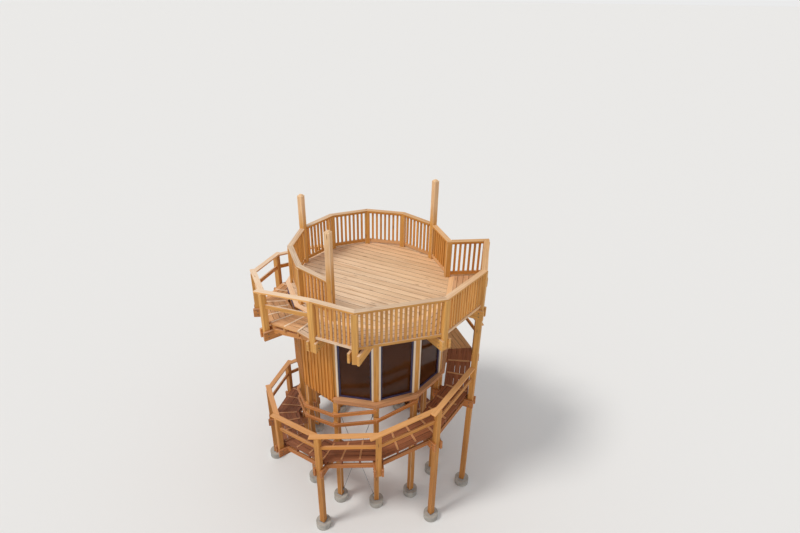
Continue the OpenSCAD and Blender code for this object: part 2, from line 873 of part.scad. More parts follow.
module ring_panel(i) {
    color(timber)
        balustrade(ring_corners[i + 1][0], ring_corners[i + 1][1],
            ring_corners[i][0], ring_corners[i][1], fit, fit,
            outer_gap, edge_in, edge_out, edge_lift, edge_t);
}

module terrace_panel_1() { terrace_panel(0); }
module terrace_panel_2() { terrace_panel(1); }
module terrace_panel_3() { terrace_panel(2); }
module terrace_panel_4() { terrace_panel(3); }
module terrace_panel_5() { terrace_panel(4); }
module terrace_panel_6() { terrace_panel(5); }
module terrace_panel_7() { terrace_panel(6); }
module terrace_panel_8() { terrace_panel(7); }
module ring_panel_1() { ring_panel(0); }
module ring_panel_2() { ring_panel(1); }
module ring_panel_3() { ring_panel(2); }
module ring_panel_4() { ring_panel(3); }

// Radial panel that closes the ring between the terrace and its first post
module end_panel() {
    x1 = main_r + post_face;
    x2 = outer_r - post_face;
    half = rail_w / 2;
    over_main = (main_apo + half) / cos(half_angle) + fit;
    over_outer = (outer_apo - half) / cos(half_angle) - half * tan(half_angle) - fit;
    color(timber)
        rotate([0, 0, corner(0)]) {
            translate([0, 0, rail_under])
                linear_extrude(height = rail_t)
                    polygon([
                        [main_r - half, -half], [over_outer, -half], [over_outer, fit],
                        [outer_r + half, fit], [outer_r + half, half], [over_main, half],
                        [over_main, -fit], [main_r - half, -fit]
                    ]);
            translate([x1, -sub_rail_w / 2, rail_under - sub_rail_h])
                cube([x2 - x1, sub_rail_w, sub_rail_h]);
            translate([x1, -sub_rail_w / 2, terrace_h + foot_rail_lift])
                cube([x2 - x1, sub_rail_w, foot_rail_h]);
            baluster_row(x1, x2, inner_gap, terrace_h + foot_rail_lift + foot_rail_h,
                rail_under - sub_rail_h);
        }
}

// Board between two angles of one side, its inner edge at an apothem
module tread_board(a_back, a_front, a_top, apo, z) {
    mid = side_mid((a_back + a_front) / 2);
    trim = 0.01;
    low = downhill(a_top);
    translate([0, 0, z - board_t])
        linear_extrude(height = board_t)
            polygon([
                inner_hit(a_back - trim, apo, mid),
                outer_hit(a_back - trim, low, stair_r(low), a_top, stair_r(a_top), walk_side),
                outer_hit(a_front + trim, low, stair_r(low), a_top, stair_r(a_top), walk_side),
                inner_hit(a_front + trim, apo, mid)
            ]);
}

// Radial bearer under the walkway, its top at a height over the underside of
// a level board. Where there are twin beams it is wide and stands on the upper
// one.
module bearer(a, z, over) {
    on_beams = is_in(a, beam_angles);
    r1 = norm(inner_hit(a, walk_in, side_mid(a + 1)));
    r2 = norm(inner_hit(a, walk_out, side_mid(a + 1)));
    h = min(rise_at(a) + board_t, z) - board_t;
    rotate([0, 0, a])
        translate([r1 + 14, fit, z - board_t - h])
            cube([r2 - r1 - (on_beams ? 60 : 28), on_beams ? beam_face - 2 * fit : bearer_w, h + over]);
}

// Boards along one side of the walkway, sloping between two angles. Widened,
// raised and deepened they are the room for the boards in their bearers.
module ramp_boards(e, widen, lift, s, h) {
    mid = side_mid((e[0] + e[1]) / 2);
    for (i = [0 : walk_rows - 1])
        let (outer = walk_out - i * (walk_board_w + board_gap),
                inner = max(outer - walk_board_w, walk_in),
                apo = (inner + outer) / 2,
                half = (outer - inner) / 2 + widen)
            sloped_bar(e[1], apo / cos(e[1] - mid), pitch_z(e[1]) + lift,
                e[0], apo / cos(e[0] - mid), pitch_z(e[0]) + lift, -half, half, s, s, h);
}

// Ramp of the side below the corner a_top: its boards, and the bearers planed
// to them and seated on the stringers
module side_of_ramp(a_top, first, last) {
    e = [a_top - first * tread_angle, a_top - (last + 1) * tread_angle];
    ramp_boards(e, 0, 0, fit, board_t);
    difference() {
        for (i = [first : last])
            let (a = a_top - (i + 1) * tread_angle)
                bearer(a, pitch_z(a), 1.5 * board_t);
        ramp_boards(e, board_gap / 2, 2 * board_t, 0, 3 * board_t + fit);
        stringer_pair([a_top, downhill(a_top)], fit);
    }
}

module upper_ramp() {
    color(deck_timber) {
        side_of_ramp(upper_corners[0], 1, side_treads - 1);
        for (j = [1 : upper_sides - 1])
            side_of_ramp(upper_corners[j], 0, side_treads - 1);
    }
}

module lower_ramp() {
    color(shaded_timber) {
        for (j = [0 : lower_sides - 1])
            side_of_ramp(lower_corners[j], 0, side_treads - 1);
        side_of_ramp(lower_corners[lower_sides], 0, lower_risers - 2 - lower_sides * side_treads);
    }
}

module entrance_landing() {
    color(deck_timber) {
        tread_board(landing_start, landing_end, landing_start, clad_in + rim_board_t + fit, landing_h);
        bearer(landing_end, landing_h, 1);
        for (i = [1 : 3])
            rotate([0, 0, landing_end + i * side_angle / 4])
                translate([walk_in + 60, -bearer_w / 2, landing_h - board_t - landing_bearer_h])
                    cube([outer_apo + walk_side - walk_in - 70, bearer_w, landing_bearer_h + 1]);
    }
}

module stair_beams() {
    color(shaded_timber)
        for (a = beam_angles)
            if (a != stair_head)
                twin_beams(a, main_r, a, outer_r, beam_z(a), stair_beam_h);
}

// Bar on the outer side of one stair side, at offsets d1 to d2 from the line
// of the posts, with its top at z_top and z_low at the corners
module stair_bar(e, z_top, z_low, d1, d2, s_top, s_low, h) {
    mid = (d1 + d2) / 2;
    r_low = stair_r(e[1]);
    r_top = stair_r(e[0]);
    sloped_bar(e[1], norm(outer_hit(e[1], e[1], r_low, e[0], r_top, mid)), z_low,
        e[0], norm(outer_hit(e[0], e[1], r_low, e[0], r_top, mid)), z_top,
        d1 - mid, d2 - mid, s_low, s_top, h);
}

// Bar beside the cabin on one stair side, between two apothems
module cabin_side_bar(e, z_top, z_low, apo1, apo2, s_top, s_low, h) {
    mid = side_mid((e[0] + e[1]) / 2);
    apo = (apo1 + apo2) / 2;
    sloped_bar(e[1], apo / cos(e[1] - mid), z_low, e[0], apo / cos(e[0] - mid), z_top,
        apo1 - apo, apo2 - apo, s_low, s_top, h);
}

// Sides of the stair as pairs of corner angles, top first
upper_stair = [for (j = [0 : upper_sides - 1]) [upper_corners[j], upper_corners[j + 1]]];
lower_stair = [for (j = [0 : lower_sides]) [lower_corners[j], lower_corners[j + 1]]];
landing_side = [landing_start, landing_end];
stair_sides = concat(upper_stair, lower_stair);

// The two stringers of a side, between the radial beams
inner_string = walk_in + string_inset;
function string_end(a) = is_in(a, beam_angles) ? beam_face : fit;
module stringer_pair(e, grow) {
    level = e == landing_side;
    drop = level ? board_t + landing_bearer_h + fit - grow : beam_drop(e[1]) + 2 - grow;
    z_top = (level ? landing_h : pitch_z(e[0])) - drop;
    z_low = (level ? landing_h : pitch_z(e[1])) - drop;
    stair_bar(e, z_top, z_low, walk_side - stringer_w - grow, walk_side + grow,
        string_end(e[0]), string_end(e[1]), stringer_h + 2 * grow);
    cabin_side_bar(e, z_top, z_low, inner_string - grow, inner_string + stringer_w + grow,
        string_end(e[0]), string_end(e[1]), stringer_h + 2 * grow);
}

module stair_stringers() {
    color(shaded_timber)
        for (e = concat(stair_sides, [landing_side]))
            stringer_pair(e, 0);
}

// Point of a side's handrail plan at offset d from the line of the posts: at
// its lower end, a distance past the corner, and at its upper end, a distance
// below the joint with the handrail from above
function hand_low(e, d, past) =
    let (p = stair_r(e[1]) * dir(e[1]), u = side_u(p, stair_r(e[0]) * dir(e[0])))
    p + out_n(u) * d - u * past;
function hand_top(e, d, below) =
    let (q = stair_r(e[0]) * dir(e[0]), u = side_u(stair_r(e[1]) * dir(e[1]), q), n = out_n(u))
    e[0] > stair_head - 1 ? cut_end(q, u, n, e[0], d, fit) - u * below :
    let (above = out_n(side_u(q, stair_r(uphill(e[0])) * dir(uphill(e[0])))))
    q + n * d - u * (below + (rail_w / 2 + fit + d * (above * n)) / (above * u));

// The handrails overlap at the corners, but stop at the ring's post that runs
// down past corner 1
module stair_handrails() {
    half = rail_w / 2;
    ring_post = lower_corners[1];
    color(pale_timber)
        for (e = concat(stair_sides, [landing_side])) {
            p = stair_r(e[1]) * dir(e[1]);
            q = stair_r(e[0]) * dir(e[0]);
            stop = bar_plan(e[1], stair_r(e[1]), e[0], stair_r(e[0]), -half, half, post_face, post_face);
            low = e[1] == ring_post ? [stop[0], stop[3]] :
                [hand_low(e, -half, rail_over), hand_low(e, half, rail_over)];
            high = e[0] == ring_post ? [stop[2], stop[1]] :
                [hand_top(e, half, 0), hand_top(e, -half, 0)];
            sloped_slab(p, rail_z(e[1]), q, rail_z(e[0]), rail_t, concat(low, high));
        }
}

module stair_mid_rails() {
    color(timber)
        for (e = concat(stair_sides, [landing_side]))
            stair_bar(e, rail_z(e[0]) - mid_rail_drop, rail_z(e[1]) - mid_rail_drop,
                -sub_rail_w / 2, sub_rail_w / 2, post_face, post_face, mid_rail_h);
}

// Two rails on the cabin's side of the lower flight, as the first corner and
// the drop below the handrail. Each starts where it is clear below the cabin.
inner_rail_apo = clad_in + 40;
function first_clear(drop, j = 0) =
    j == lower_sides || rail_z(lower_corners[j]) - drop < skirt_z - fit ? j : first_clear(drop, j + 1);
inner_rows = [for (drop = [0, mid_rail_drop]) [first_clear(drop), drop]];
module inner_rails() {
    color(timber)
        for (row = inner_rows, j = [row[0] : lower_sides - 1]) {
            e = lower_stair[j];
            cabin_side_bar(e, rail_z(e[0]) - row[1], rail_z(e[1]) - row[1],
                inner_rail_apo, inner_rail_apo + sub_rail_w, fit, fit, mid_rail_h);
        }
}

// Blocks that hold the inner rails off the main posts
module rail_blocks() {
    color(timber)
        for (row = inner_rows, j = [row[0] : lower_sides])
            intersection() {
                twelve_sided(inner_rail_apo - fit, 0, terrace_h);
                rotate([0, 0, lower_corners[j]])
                    translate([main_r + post_face, -post_w / 2, rail_z(lower_corners[j]) - row[1] - mid_rail_h])
                        cube([outer_r - main_r, post_w, mid_rail_h]);
            }
}

// Crossed tie rods between the main posts under the cabin, each with a lug
// on both posts
rod_bays = [1, 5, 8];
lug = [60, 30, 90];
module tie_rods() {
    inset = 40;
    rod_rise = landing_h - rod_drop - rod_low;
    color(steel_grey)
        for (k = rod_bays, m = [-1, 1]) {
            apo = main_apo + 20 - 24 * m;
            half = face_half(apo);
            lug_r = apo / cos(half_angle) - post_face * tan(half_angle);
            lean = atan2(2 * half, rod_rise);
            union() {
                rotate([0, 0, corner(k) + half_angle])
                    translate([apo, -m * half, rod_low])
                        rotate([-m * lean, 0, 0])
                            translate([0, 0, inset])
                                cylinder(d = rod_d, h = rod_rise / cos(lean) - 2 * inset, $fn = 24);
                for (e = [[-m, rod_low + inset], [m, rod_low + rod_rise - inset]])
                    rotate([0, 0, corner(k) + half_angle + e[0] * half_angle])
                        translate([lug_r - lug[0] / 2, e[0] > 0 ? -post_face - lug[1] : post_face,
                            e[1] - lug[2] / 2])
                            cube(lug);
            }
        }
}

footings();
post_shoes();
main_posts();
outer_posts();
cabin_floor_beams();
cabin_floor();
window_rim_boards();
wall_1();
wall_2();
wall_3();
wall_4();
wall_5();
wall_6();
wall_7();
window_sills();
window_jambs();
window_frames();
window_glass();
head_beams();
entrance_frame();
entrance_door();
entrance_glass();
roof_slab();
roof_rim();
roof_membrane();
terrace_battens();
terrace_floor();
terrace_border();
ring_deck();
ring_beams();
terrace_panel_1();
terrace_panel_2();
terrace_panel_3();
terrace_panel_4();
terrace_panel_5();
terrace_panel_6();
terrace_panel_7();
terrace_panel_8();
end_panel();
ring_panel_1();
ring_panel_2();
ring_panel_3();
ring_panel_4();
upper_ramp();
lower_ramp();
entrance_landing();
stair_beams();
stair_stringers();
stair_handrails();
stair_mid_rails();
inner_rails();
rail_blocks();
tie_rods();
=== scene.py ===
import math
from collections import namedtuple

import bpy
import numpy as np
from mathutils import Matrix, Vector


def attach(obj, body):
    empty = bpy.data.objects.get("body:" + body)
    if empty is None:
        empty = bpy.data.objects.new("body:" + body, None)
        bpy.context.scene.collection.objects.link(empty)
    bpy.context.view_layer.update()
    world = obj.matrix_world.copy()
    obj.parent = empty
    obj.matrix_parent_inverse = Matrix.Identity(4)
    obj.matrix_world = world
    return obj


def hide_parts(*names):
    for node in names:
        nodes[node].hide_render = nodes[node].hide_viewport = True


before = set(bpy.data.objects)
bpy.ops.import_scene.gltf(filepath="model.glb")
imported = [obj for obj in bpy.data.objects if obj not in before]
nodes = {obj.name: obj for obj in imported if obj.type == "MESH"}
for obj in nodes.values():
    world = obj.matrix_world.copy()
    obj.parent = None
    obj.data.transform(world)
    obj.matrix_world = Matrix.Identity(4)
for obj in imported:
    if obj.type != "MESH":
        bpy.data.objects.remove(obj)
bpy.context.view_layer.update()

scene = bpy.context.scene
scene.view_settings.view_transform = "Standard"

# Camera, at the photograph's viewpoint
EYE = Vector((-0.1111, -13.1994, 14.8797))
LOOK = Vector((0.058603, 0.859260, -0.508171)).normalized()
RIGHT = Vector((0.998211, -0.056492, 0.019594)).normalized()
LENS = 25.29
SENSOR = 36
FARTHEST = 400

camera_data = bpy.data.cameras.new("camera")
camera_data.sensor_width = SENSOR
camera_data.lens = LENS
camera_data.clip_end = FARTHEST
camera = bpy.data.objects.new("camera", camera_data)
scene.collection.objects.link(camera)
scene.camera = camera
up = RIGHT.cross(LOOK)
camera.matrix_world = Matrix((
    (RIGHT.x, up.x, -LOOK.x, EYE.x),
    (RIGHT.y, up.y, -LOOK.y, EYE.y),
    (RIGHT.z, up.z, -LOOK.z, EYE.z),
    (0, 0, 0, 1),
))

# Twelve-sided plan, in metres and degrees
SIDE_ANGLE = 30
POST_RING = 2.120  # circle of the inner posts
WALK_RING = 3.1467  # circle of the outer posts
HEAD_RING = 2.9847  # distance of the outer post at the ramps' head
WALK_IN = 2.2496  # middle of a side of the walkway's inner edge
WALK_OUT = 2.9466  # middle of a side of its outer edge
WALK_MID = (WALK_IN + WALK_OUT) / 2
OUTER_HALF = 2.78  # an edge whose two ends are beyond this is on the outer side
RIM_DEPTH = 0.02  # faces this near the outer edge get no edge colour
RAMP_HEAD = -117.6  # angle of the corner at the ramps' head

# The two ramps: angle and height of the upper and of the lower end, the
# corners with twin beams below, counted down from the head, and the first
# line that has a cleat. There is none at the landing's edge.
Ramp = namedtuple("Ramp", "top top_z low low_z corners first_cleat")
UPPER_RAMP = Ramp(-127.6, 6.7, -327.6, 4.21810, range(1, 8), 0)
LOWER_RAMP = Ramp(-357.6, 4.094, -677.6, 0.12406, range(8, 18), 1)

# Twin beams that clasp the posts, and their bolts
BEAM_SIDE = 0.1353  # from a post's middle to the outer face of each beam
BEAM_FIT = 0.0003  # between a beam's top and the boards
RING_BEAM_H = 0.280
RING_BEAM_Z = 6.380  # underside
RING_BEAMS = (  # angle and distance of the outer post
    (2.4, WALK_RING), (-27.6, WALK_RING), (-57.6, WALK_RING), (RAMP_HEAD, HEAD_RING),
)
RAMP_BEAM_H = 0.260
BOLT_ROWS = (0.3, 0.7)  # share of the beam's height
WASHER_R, WASHER_T = 0.017, 0.003
HEAD_R, HEAD_H = 0.0095, 0.009

# Boards of the level floors
BOARD_T = 0.040
TERRACE_LINE = -27.6  # direction that the terrace's boards run in
TERRACE_PITCH = 0.194
TERRACE_GAP = 0.007
WALK_PITCH = 0.150
WALK_GAP = 0.009
THIN_STRIP = 0.012  # no board is narrower than this
SAW_HALF = 0.0005  # half of a saw cut

# Cleats across the ramps
CLEAT_STEP = 10  # degrees from line to line
CLEAT_SIZE = (0.630, 0.050, 0.020)  # across the ramp, along it and up
CLEAT_LIFT = 0.003  # middle of a cleat above the boards
CLEAT_BACK = 0.028  # middle of a cleat behind its line

# Width of the eased edges, and the angle past which an edge is eased
EASE_FINE = 0.003
EASE_CLEAT = 0.004
EASE_WALK = 0.006
EASE_RAMP = 0.007
EASE_BOLT = 0.001
EASE_ANGLE = 28
BOLT_ANGLE = 40

# What counts as the same when a node's mesh is read
MERGE_REACH = 0.00002  # vertices this near are one
FLAT_ANGLE = 0.5  # faces within this angle are one
LEVEL_SLACK = 0.0001  # most that the ends of a level edge differ


def heading(degrees):
    return Vector((math.cos(math.radians(degrees)), math.sin(math.radians(degrees)), 0))


# Selection and modifiers
def select_only(*objects):
    bpy.ops.object.select_all(action="DESELECT")
    for o in objects:
        o.select_set(True)
    bpy.context.view_layer.objects.active = objects[0]


def all_in_edit_mode(piece):
    select_only(piece)
    bpy.ops.object.mode_set(mode="EDIT")
    bpy.ops.mesh.select_all(action="SELECT")


def apply_modifiers(piece):
    select_only(piece)
    for m in list(piece.modifiers):
        bpy.ops.object.modifier_apply(modifier=m.name)


def settle(piece):
    """Put the object's place into its mesh."""
    select_only(piece)
    bpy.ops.object.transform_apply(location=True, rotation=True, scale=True)


# Wood grain that follows each timber's length
GRAIN_SHIFT = 40  # farthest that a timber's pattern is moved along or across
END_GRAIN = (0.6, 0.6, 1.0)  # the pattern is wider on sawn ends
EASED_WIDTH = 0.0095  # widest face that counts as an eased edge
BOARD_MOST_T = 0.046  # a level solid up to this thick and wider than
BOARD_LEAST_W = 0.08  # this is a floor board
UPRIGHT_LEAST = 0.2  # shortest upright face of a framed panel
FOOT_RAIL = (6.742, 6.810)  # heights between which the panels' foot rails are
FOOT_RAIL_SUN = 0.9  # how much paler the sunny ones are painted: bleaching and painted light
OPEN_SIDE = Vector((-0.81, -0.58, 0))  # where the most light comes from
MARK_STEPS = 33  # places in a metre that can have a mark of their own
SQUARE = 0.9  # cosine of a direction that counts as the same


def values_of(items, name, width=1, kind=float):
    """One value of all vertices, edges or face corners of a mesh."""
    values = np.empty(len(items) * width, kind)
    items.foreach_get(name, values)
    return values.reshape(-1, width) if width > 1 else values


def solids_of(count, edges):
    """Number of the connected solid that each vertex is in."""
    label = np.arange(count)
    while True:
        low = np.minimum(label[edges[:, 0]], label[edges[:, 1]])
        new = label.copy()
        np.minimum.at(new, edges[:, 0], low)
        np.minimum.at(new, edges[:, 1], low)
        new = new[new]
        if (new == label).all():
            return label
        label = new


def cross_axes(along):
    """Two directions square to a timber's length. The first one is level, and
    on an upright timber it is square to Y."""
    side = np.cross(along, [0.0, 0.0, 1.0])
    if np.linalg.norm(side) < 0.2:
        side = np.cross(along, [0.0, 1.0, 0.0])
    side /= np.linalg.norm(side)
    return side, np.cross(along, side)


def along_axes(points, axes):
    return np.stack([points @ axis for axis in axes], axis=1)


def is_edge_mark(face, longest, centre, across):
    """Marked are the narrow faces, the eased edges. On a floor board the sides that face a gap
    are too, but nothing on the walkway's outmost side is. The timber paints these faces paler, as
    wear and painted highlight, unless it has an edge colour: then darker, as dirt and painted
    shade."""
    narrow = face.area < longest * EASED_WIDTH
    if across is None:
        return narrow
    level = face.normal.to_2d()
    reach = level.normalized().dot(Vector(centre[:2])) if level.length > 0.5 else 0
    facing = abs(face.normal.dot(across)) > SQUARE
    return (narrow or facing) and reach <= WALK_OUT - RIM_DEPTH


def on_sunny_rail(face, centre):
    """Faces of the foot rails that look at the open side, or at the right
    where they are well right of the middle."""
    at_open_side = face.normal.dot(OPEN_SIDE) > 0.6
    at_right = face.normal.x > 0.7 and centre[0] > 0.7
    return FOOT_RAIL[0] < centre[2] < FOOT_RAIL[1] and (at_open_side or at_right)


def mark_of(centre):
    """Number from 0 to 1 that looks random and is one upright's own."""
    x, y = (round(c * MARK_STEPS) for c in centre[:2])
    return math.modf(abs(math.sin(x * 12.9898 + y * 78.233)) * 43.7)[0]


def lay_grain(piece, seed, framed=False):
    """Store for each face corner its place along and across the timber it is part of, for each
    timber a tone, how far each face looks up, which sets how far it is sun-bleached and painted
    with light, and which faces are eased edges or sides of a gap between boards, which take the
    edge colour. On a timber's sawn ends the lines run across it. In a framed panel the upright
    faces between the rails have their own upright grain."""
    mesh = piece.data
    co = values_of(mesh.vertices, "co", 3)
    edges = values_of(mesh.edges, "vertices", 2, np.int64)
    corner_vertex = values_of(mesh.loops, "vertex_index", 1, np.int64)
    spans = co[edges[:, 1]] - co[edges[:, 0]]
    lengths = np.linalg.norm(spans, axis=1)
    label = solids_of(len(co), edges)
    edge_label = label[edges[:, 0]]
    corner_label = label[corner_vertex]
    count = len(corner_vertex)
    grain = np.zeros((count, 3))
    tone, weather, worn = np.zeros(count), np.zeros(count), np.zeros(count)
    rng = np.random.default_rng(seed)
    axes, boards = {}, {}
    for solid in np.unique(label):
        mine = np.where(edge_label == solid)[0]
        if len(mine) == 0:
            continue
        longest = mine[np.argmax(lengths[mine])]
        along = spans[longest] / lengths[longest]
        side, over = cross_axes(along)
        axes[solid] = (along, side, over)
        corners = np.where(corner_label == solid)[0]
        points = co[corner_vertex[corners]]
        shift = rng.uniform(-GRAIN_SHIFT, GRAIN_SHIFT, 3)
        grain[corners] = along_axes(points, axes[solid]) + shift
        tone[corners] = rng.uniform(0, 1)
        flat = np.ptp(points @ over) < BOARD_MOST_T and abs(over[2]) > SQUARE
        if flat and np.ptp(points @ side) > BOARD_LEAST_W:
            boards[solid] = Vector(side)
    for face in mesh.polygons:
        corners = list(face.loop_indices)
        points = co[list(face.vertices)]
        steps = np.roll(points, -1, axis=0) - points
        sizes = np.linalg.norm(steps, axis=1)
        centre = points.mean(axis=0)
        solid = label[face.vertices[0]]
        along, side, over = axes[solid]
        if abs(face.normal @ Vector(along)) > 0.7:
            grain[corners] = along_axes(points, (side, over, along)) * END_GRAIN
        weather[corners] = max(0.0, face.normal.z)
        worn[corners] = is_edge_mark(face, sizes.max(), centre, boards.get(solid))
        if not framed:
            continue
        if on_sunny_rail(face, centre):
            weather[corners] = FOOT_RAIL_SUN
        run = steps[np.argmax(sizes)]
        if abs(run[2]) > 0.8 * np.linalg.norm(run) and sizes.max() > UPRIGHT_LEAST:
            mark = mark_of(centre)
            grain[corners] = points[:, (2, 0, 1)] + (7 * mark, 3 * mark, 0)
            tone[corners] = mark
    for name, values in (("grain", grain), ("tone", tone), ("weather", weather), ("worn", worn)):
        kind, field = ("FLOAT_VECTOR", "vector") if values.ndim == 2 else ("FLOAT", "value")
        layer = mesh.attributes.new(name, kind, "CORNER")
        layer.data.foreach_set(field, values.astype(np.float32).ravel())


# Colours
def srgb(r, g, b):
    """Linear colour of one that is written from 0 to 255."""
    shares = [c / 255 for c in (r, g, b)]
    return tuple(s / 12.92 if s <= 0.04045 else ((s + 0.055) / 1.055) ** 2.4 for s in shares)


def shade(colour, amount):
    """Lighter or darker tone of the same hue."""
    amount = min(amount, 0.98 / max(colour))
    return tuple(c * amount for c in colour)


def between(first, second, share):
    return tuple(a + (b - a) * share for a, b in zip(first, second))


def grey(amount):
    return (amount,) * 3


# Shader nodes
def add(tree, kind, **values):
    node = tree.nodes.new(kind)
    for key, value in values.items():
        setattr(node, key, value)
    return node


def feed(tree, value, socket):
    """Put a number, a colour or another node's output into a socket."""
    if isinstance(value, (int, float)):
        socket.default_value = value
    elif isinstance(value, tuple):
        socket.default_value = (*value, 1)
    else:
        tree.links.new(value, socket)


def new_material(name):
    material = bpy.data.materials.new(name)
    material.use_nodes = True
    tree = material.node_tree
    tree.nodes.clear()
    out = add(tree, "ShaderNodeOutputMaterial")
    shader = add(tree, "ShaderNodeBsdfPrincipled")
    tree.links.new(shader.outputs["BSDF"], out.inputs["Surface"])
    return material, tree, shader


def own_place(tree):
    return add(tree, "ShaderNodeTexCoord").outputs["Object"]


def laid(tree, name, output="Fac"):
    """One of the values that lay_grain stores."""
    return add(tree, "ShaderNodeAttribute", attribute_name=name).outputs[output]


def colour_steps(tree, source, stops):
    """Colours that run into each other from stop to stop."""
    node = add(tree, "ShaderNodeValToRGB")
    items = node.color_ramp.elements
    items[0].position, items[0].color = stops[0][0], (*stops[0][1], 1)
    items[1].position, items[1].color = stops[-1][0], (*stops[-1][1], 1)
    for place, colour in stops[1:-1]:
        item = items.new(place)
        item.color = (*colour, 1)
    tree.links.new(source, node.inputs["Fac"])
    return node.outputs["Color"]


def spread_over(tree, value, low, high, first=0.0, last=1.0):
    """First at low, last at high and even steps between them."""
    node = add(tree, "ShaderNodeMapRange")
    node.inputs["From Min"].default_value = low
    node.inputs["From Max"].default_value = high
    node.inputs["To Min"].default_value = first
    node.inputs["To Max"].default_value = last
    tree.links.new(value, node.inputs["Value"])
    return node.outputs["Result"]


def mapped(tree, source, scale):
    node = add(tree, "ShaderNodeMapping")
    node.inputs["Scale"].default_value = scale
    tree.links.new(source, node.inputs["Vector"])
    return node.outputs["Vector"]


def noise(tree, vector, scale, detail=4.0, distortion=0.0):
    node = add(tree, "ShaderNodeTexNoise")
    node.inputs["Scale"].default_value = scale
    node.inputs["Detail"].default_value = detail
    node.inputs["Distortion"].default_value = distortion
    tree.links.new(vector, node.inputs["Vector"])
    return node.outputs["Fac"]


def times(tree, first, second):
    node = add(tree, "ShaderNodeMath", operation="MULTIPLY")
    feed(tree, first, node.inputs[0])
    feed(tree, second, node.inputs[1])
    return node.outputs[0]


def blended(tree, factor, first, second, kind="MIX"):
    node = add(tree, "ShaderNodeMix", data_type="RGBA", blend_type=kind)
    for value, name in ((factor, "Factor"), (first, "A"), (second, "B")):
        feed(tree, value, [s for s in node.inputs if s.name == name and s.enabled][0])
    return [s for s in node.outputs if s.enabled][0]


def bumped(tree, shader, height, strength, distance):
    node = add(tree, "ShaderNodeBump")
    node.inputs["Strength"].default_value = strength
    node.inputs["Distance"].default_value = distance
    tree.links.new(height, node.inputs["Height"])
    tree.links.new(node.outputs["Normal"], shader.inputs["Normal"])


# Patterns of the timber, as repeats in a metre along and across the grain
STREAKS = (1.6, 55, 55)
BANDS = (0.35, 7, 7)
KNOTS = (1.1, 7, 7)

# Painted shade: tint that makes the timber darker and redder near the ground, fading out up to
# the deck
PAINTED_LOW_SHADE = [(0.0, (0.66, 0.52, 0.40)), (0.5, (0.88, 0.76, 0.60)), (1.0, (1.0, 1.0, 1.0))]
LOW_SHADE_HEIGHTS = (1.5, 6.6)

# Bleaching by the sun, and painted light: paler on the open side and high up
CREAM = srgb(252, 231, 206)  # the pale tone of bleached timber, and of painted light
POST_TOPS = (7.8, 8.4)  # heights over which the tall posts are painted paler: painted light
SUN_HEIGHTS = (3.6, 6.8)  # heights over which the sun grows full
LOW_SUN = 0.3  # share of the sun that is left low down
SUN_SCALE = 0.172  # of a distance in metres towards the open side
SUN_EDGES = (-0.75, 0.5)  # no sun and full sun, on that scale


def sunlit(tree, place, above):
    """How much sun reaches a place: most on the open side and high up."""
    to_open_side = add(tree, "ShaderNodeVectorMath", operation="DOT_PRODUCT")
    tree.links.new(place, to_open_side.inputs[0])
    to_open_side.inputs[1].default_value = OPEN_SIDE * SUN_SCALE
    return times(
        tree,
        spread_over(tree, to_open_side.outputs["Value"], *SUN_EDGES),
        spread_over(tree, above, *SUN_HEIGHTS, LOW_SUN, 1.0),
    )


